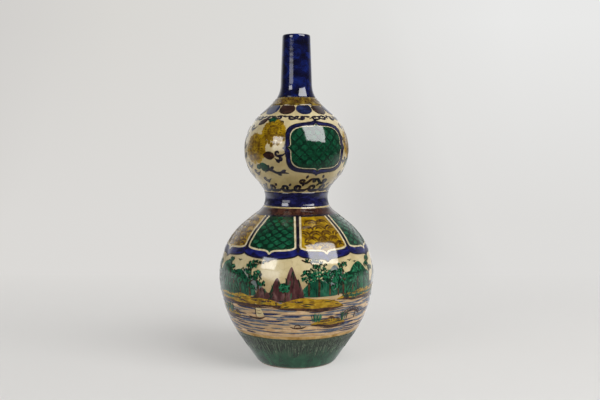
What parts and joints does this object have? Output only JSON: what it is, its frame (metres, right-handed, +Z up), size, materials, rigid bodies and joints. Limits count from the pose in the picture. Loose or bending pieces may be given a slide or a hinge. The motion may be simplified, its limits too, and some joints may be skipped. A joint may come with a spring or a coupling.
{
  "type": "double gourd vase",
  "caption": "Double gourd vase with a round lower bulb, drawn-in waist, smaller upper bulb and slim neck, glazed and enamelled with lobed panels, medallions and bands.",
  "frame": {"origin": "centre of the foot ring, on the plane that it stands on", "axes": "+Z up along the axis of the vase, -Y towards the pictured front"},
  "size_m": [0.18, 0.18, 0.38],
  "materials": {
    "clay": "bare fired stoneware",
    "slip": "fired joining slip",
    "glaze": "glossy buff glaze with fine crackle",
    "blue_enamel": "glossy cobalt blue enamel",
    "yellow_enamel": "glossy mustard yellow enamel",
    "ochre_enamel": "glossy ochre enamel line",
    "aubergine_enamel": "glossy aubergine brown enamel",
    "green_enamel": "glossy emerald green enamel"
  },
  "bodies": {
    "root": {"lower_bulb_bowl": "clay", "lower_bulb_shoulder": "clay", "upper_bulb_bowl": "clay", "upper_bulb_dome": "clay", "neck_tube": "clay", "belly_slip_seam": "slip", "waist_slip_seam": "slip", "upper_bulb_slip_seam": "slip", "neck_slip_seam": "slip", "glaze_coat": "glaze", "base_glaze": "glaze", "neck_blue_enamel": "blue_enamel", "petals_blue_enamel": "blue_enamel", "medallion_frames_blue": "blue_enamel", "waist_blue_enamel": "blue_enamel", "shoulder_frame_blue": "blue_enamel", "collar_yellow_enamel": "yellow_enamel", "flowers_yellow_enamel": "yellow_enamel", "shoulder_panels_yellow": "yellow_enamel", "foot_ochre_line": "ochre_enamel", "petals_aubergine_enamel": "aubergine_enamel", "leaves_aubergine_enamel": "aubergine_enamel", "shoulder_aubergine_band": "aubergine_enamel", "medallion_fields_green": "green_enamel", "leaves_green_enamel": "green_enamel", "shoulder_panels_green": "green_enamel", "foot_green_enamel": "green_enamel"}
  },
  "joints": []
}
